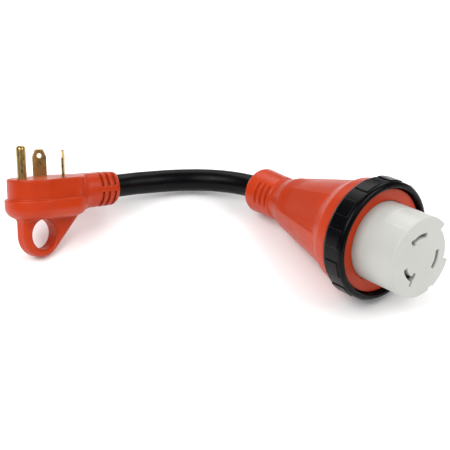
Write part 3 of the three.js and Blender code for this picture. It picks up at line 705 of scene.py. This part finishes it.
def cap_field(x, y, z):
    out = np.hypot(y, z)
    angle = np.degrees(np.arctan2(z, y))
    away = angle_from(angle, PANEL["middle"]) - PANEL["half"]
    panel = (1 - ramp(away, -0.6, 0.6)) * ramp(x - PANEL["back"], -0.5, 0.5)
    side = out - CAP["radius"] + PANEL["deep"] * panel
    cap = rounded(side, np.maximum(x, -CAP["long"] - x), CAP["edge"])
    cap = carved(cap, rounded(out - CAP["bore"], x + CAP["face"], 0.5), 0.5)
    slots = np.full(np.broadcast(x, out).shape, 1e3)
    for middle in SLOT["middles"]:
        slot = arc_slot(out, angle, SLOT["radius"], SLOT["half"], middle, SLOT["arc"])
        slots = np.minimum(slots, slot)
    for place in SLOT_ENDS:
        slots = np.minimum(slots, arc_slot(out, angle, *place))
    cap = carved(cap, np.maximum(slots, -CAP["face"] - 2 - x), 0.4)
    rim = arc_slot(out, angle, RECESS["radius"] + 5, 5, RECESS["middle"], RECESS["arc"])
    cap = carved(cap, np.maximum(rim, -RECESS["long"] - x), 0.5)
    half = RECESS["tail_half"]
    tail = arc_slot(out, angle, RECESS["radius"] + half, half, RECESS["middle"], RECESS["tail"])
    cap = carved(cap, np.maximum(tail, x + RECESS["long"] - 1), 0.2)
    key = arc_slot(out, angle, KEYWAY["radius"], KEYWAY["half"], KEYWAY["middle"], KEYWAY["arc"])
    cap = carved(cap, np.maximum(key, -KEYWAY["long"] - x), 0.4)
    for at in np.radians(SCREWS["angles"]):
        centre = SCREWS["circle"] * math.cos(at), SCREWS["circle"] * math.sin(at)
        hole = np.hypot(y - centre[0], z - centre[1]) - SCREWS["hole"]
        cap = carved(cap, np.maximum(hole, x + CAP["long"] - SCREWS["long"]), 0.2)
    return cap


def insert_cap():
    points, faces = skin(cap_field, (-43.5, -27.5, -27.5), (1.5, 27.5, 27.5), 0.5)
    piece = as_piece("insert_cap_v", points, faces, IN_CONNECTOR, WHITE_NYLON)
    finished(piece, "root", "insert_cap")


def node_tree(name, **inputs):
    """An empty geometry tree with a Geometry input and output, and named inputs."""
    tree = bpy.data.node_groups.new(name, "GeometryNodeTree")
    tree.interface.new_socket("Geometry", in_out="INPUT", socket_type="NodeSocketGeometry")
    for label, kind in inputs.items():
        tree.interface.new_socket(label.replace("_", " "), in_out="INPUT", socket_type=f"NodeSocket{kind}")
    tree.interface.new_socket("Geometry", in_out="OUTPUT", socket_type="NodeSocketGeometry")
    return tree, tree.nodes.new("NodeGroupInput"), tree.nodes.new("NodeGroupOutput")


def grown(seed, tree, **values):
    """Runs a tree on a seed mesh with these inputs, and gives back the plain mesh."""
    holder = bpy.data.objects.new("seed", seed)
    bpy.context.scene.collection.objects.link(holder)
    modifier = holder.modifiers.new("tree", "NODES")
    modifier.node_group = tree
    sockets = {item.name: item.identifier for item in tree.interface.items_tree if item.in_out == "INPUT"}
    for label, value in values.items():
        modifier[sockets[label.replace("_", " ")]] = value
    depsgraph = bpy.context.evaluated_depsgraph_get()
    mesh = bpy.data.meshes.new_from_object(holder.evaluated_get(depsgraph))
    holder.modifiers.remove(modifier)
    bpy.data.objects.remove(holder)
    return mesh


def round_the_nose():
    """A tree that sets copies of a seed round the x axis, at even steps."""
    tree, start, end = node_tree(
        "round_the_nose", Count="Int", First="Float", Step="Float", Finish="Material",
    )
    nodes, link = tree.nodes, tree.links.new
    points = nodes.new("GeometryNodeMeshLine")
    points.inputs["Offset"].default_value = (0, 0, 0)
    link(start.outputs["Count"], points.inputs["Count"])
    index = nodes.new("GeometryNodeInputIndex")
    turn = nodes.new("ShaderNodeMath")
    turn.operation = "MULTIPLY_ADD"
    link(index.outputs[0], turn.inputs[0])
    link(start.outputs["Step"], turn.inputs[1])
    link(start.outputs["First"], turn.inputs[2])
    about_x = nodes.new("ShaderNodeCombineXYZ")
    link(turn.outputs[0], about_x.inputs["X"])
    copies = nodes.new("GeometryNodeInstanceOnPoints")
    link(points.outputs["Mesh"], copies.inputs["Points"])
    link(start.outputs["Geometry"], copies.inputs["Instance"])
    link(about_x.outputs[0], copies.inputs["Rotation"])
    close_tree(tree, start, end, copies.outputs["Instances"])
    return tree


def close_tree(tree, start, end, geometry):
    """Ends a tree: instances made real, then the finish."""
    real = tree.nodes.new("GeometryNodeRealizeInstances")
    tree.links.new(geometry, real.inputs["Geometry"])
    paint = tree.nodes.new("GeometryNodeSetMaterial")
    tree.links.new(real.outputs["Geometry"], paint.inputs["Geometry"])
    tree.links.new(start.outputs["Finish"], paint.inputs["Material"])
    tree.links.new(paint.outputs["Geometry"], end.inputs["Geometry"])


def thread_tree():
    """A tree that winds a ridge round the x axis, for the ring's internal thread."""
    tree, start, end = node_tree(
        "wound_thread", Radius="Float", Turns="Float", Pitch="Float", Ridge="Float",
        Start_X="Float", Finish="Material",
    )
    nodes, link = tree.nodes, tree.links.new
    coil = nodes.new("GeometryNodeCurveSpiral")
    coil.inputs["Resolution"].default_value = 96
    link(start.outputs["Turns"], coil.inputs["Rotations"])
    link(start.outputs["Radius"], coil.inputs["Start Radius"])
    link(start.outputs["Radius"], coil.inputs["End Radius"])
    rise = nodes.new("ShaderNodeMath")
    rise.operation = "MULTIPLY"
    link(start.outputs["Turns"], rise.inputs[0])
    link(start.outputs["Pitch"], rise.inputs[1])
    link(rise.outputs[0], coil.inputs["Height"])
    ridge = nodes.new("GeometryNodeCurvePrimitiveCircle")
    ridge.inputs["Resolution"].default_value = 8
    link(start.outputs["Ridge"], ridge.inputs["Radius"])
    swept = nodes.new("GeometryNodeCurveToMesh")
    swept.inputs["Fill Caps"].default_value = True
    link(coil.outputs[0], swept.inputs["Curve"])
    link(ridge.outputs[0], swept.inputs["Profile Curve"])
    shift = nodes.new("ShaderNodeCombineXYZ")
    link(start.outputs["Start X"], shift.inputs["X"])
    laid = nodes.new("GeometryNodeTransform")
    laid.inputs["Rotation"].default_value = (0, math.pi / 2, 0)
    link(shift.outputs[0], laid.inputs["Translation"])
    link(swept.outputs["Mesh"], laid.inputs["Geometry"])
    close_tree(tree, start, end, laid.outputs["Geometry"])
    return tree


def grip_pad():
    """One low pad on the ring's outside, with softened edges."""
    half_arc = math.radians(PADS["arc"] / 2) * RING["radius"]
    back, front = RING["back"] + PADS["from_back"], RING["front"] - PADS["from_front"]

    def pad(x, along, out):
        flat = rounded(np.abs(x - (back + front) / 2) - (front - back) / 2, np.abs(along) - half_arc, 0.8)
        return rounded(flat, np.abs(out - RING["radius"] + 1) - 1, 0.45)

    low = (back - 1, -half_arc - 1, RING["radius"] - 3)
    high = (front + 1, half_arc + 1, RING["radius"] + 1)
    points, faces = skin(pad, low, high, 0.4)
    along, lengthwise, out = points.T
    angle = lengthwise / RING["radius"]
    wrapped = np.stack([along, out * np.cos(angle), out * np.sin(angle)], 1)
    return bare_mesh("grip_pad", wrapped, faces)


def ring_band():
    """The ring's plain turned body, with a lip behind and a wide bore in front."""
    outer = RING["radius"] - PADS["proud"]
    front, back, bore, lip = RING["front"], RING["back"], RING["bore"], RING["lip"]
    step = back + RING["lip_thick"]
    section = softened([
        (back, lip, 0.5), (back, outer - 0.9, 1.4), (back + 2.2, outer, 1), (front, outer, 2.6),
        (front, bore + 0.2, 1.1), (front - 2.4, bore, 0.4), (step, bore, 0.3), (step, lip, 0.5),
    ], 6)
    return bare_mesh("ring_band", *turned(dense(section, lambda x: 2), 200))


def locking_ring():
    """The band with its grip pads and its wound thread, in one piece."""
    pads = grown(
        grip_pad(), round_the_nose(), Count=PADS["count"], First=math.radians(PADS["first"]),
        Step=2 * math.pi / PADS["count"], Finish=BLACK_NYLON,
    )
    thread = grown(
        bare_mesh("nothing", [], []), thread_tree(), Radius=RING["bore"] + 0.1,
        Turns=THREAD["turns"], Pitch=THREAD["pitch"], Ridge=THREAD["ridge"],
        Start_X=THREAD["start"], Finish=BLACK_NYLON,
    )
    shape = bmesh.new()
    for mesh in (ring_band(), pads, thread):
        shape.from_mesh(mesh)
    for face in shape.faces:
        face.material_index = 0
    joined = bpy.data.meshes.new("locking_ring_v")
    shape.to_mesh(joined)
    shape.free()
    piece = mesh_piece("locking_ring_v", joined, IN_CONNECTOR, BLACK_NYLON)
    finished(piece, "ring", "locking_ring")


plug_body()
blades()
ground_pin()
connector_body()
insert_cap()
locking_ring()

# ---- pieces inside keep their CAD shape --------------------------------------------------------
INSIDE = {
    "plug_bridge": BLACK_NYLON,
    "insert_base": BLACK_NYLON,
    "contact_line_x": BRASS,
    "contact_line_y": BRASS,
    "contact_neutral": BRASS,
    "ground_strip": NICKEL,
    "line_link": COPPER,
    "split_retainer": NICKEL,
    "insert_screw_1": NICKEL,
    "insert_screw_2": NICKEL,
    "insert_screw_3": NICKEL,
    "line_insulation": BLACK_INSULATION,
    "neutral_insulation": WHITE_INSULATION,
    "ground_insulation": GREEN_INSULATION,
    "line_strands": STRANDS,
    "neutral_strands": STRANDS,
    "ground_strands": STRANDS,
}
for name, material in INSIDE.items():
    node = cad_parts[name]
    node.data.materials.clear()
    node.data.materials.append(material)


# ---- floor and light ---------------------------------------------------------------------------
def floor():
    half = FLOOR_HALF
    corners = [(-half, -half, 0), (half, -half, 0), (half, half, 0), (-half, half, 0)]
    piece = as_piece("floor", corners, [(0, 1, 2, 3)], Matrix.Identity(4), pale_floor())


def softbox(name, at, aim, wide, high, power):
    light = bpy.data.lights.new(name, "AREA")
    light.shape = "RECTANGLE"
    light.size, light.size_y = wide, high
    light.energy = power
    lamp = bpy.data.objects.new(name, light)
    lamp.location = at
    lamp.rotation_euler = (Vector(aim) - Vector(at)).to_track_quat("-Z", "Y").to_euler()
    bpy.context.scene.collection.objects.link(lamp)


def studio_light():
    scene = bpy.context.scene
    world = bpy.data.worlds.new("studio")
    world.use_nodes = True
    world.node_tree.nodes["Background"].inputs["Color"].default_value = (1, 1, 1, 1)
    # mirror-like surfaces meet a dimmer room than the one that lights the floor
    tree = world.node_tree
    path = tree.nodes.new("ShaderNodeLightPath")
    dim = tree.nodes.new("ShaderNodeMapRange")
    dim.inputs["To Min"].default_value = WORLD["lights"]
    dim.inputs["To Max"].default_value = WORLD["mirrors"]
    tree.links.new(path.outputs["Is Glossy Ray"], dim.inputs["Value"])
    tree.links.new(dim.outputs["Result"], tree.nodes["Background"].inputs["Strength"])
    scene.world = world
    scene.view_settings.view_transform = "Standard"
    softbox("over_left", (-0.45, -0.35, 0.8), (0, 0, 0.03), 0.7, 0.5, 6)
    softbox("over_right", (0.6, -0.2, 0.7), (0.05, 0, 0.03), 0.5, 0.5, 3.5)
    softbox("behind", (0.0, 0.8, 0.6), (0, 0, 0.03), 1.0, 0.4, 3.5)


floor()
studio_light()
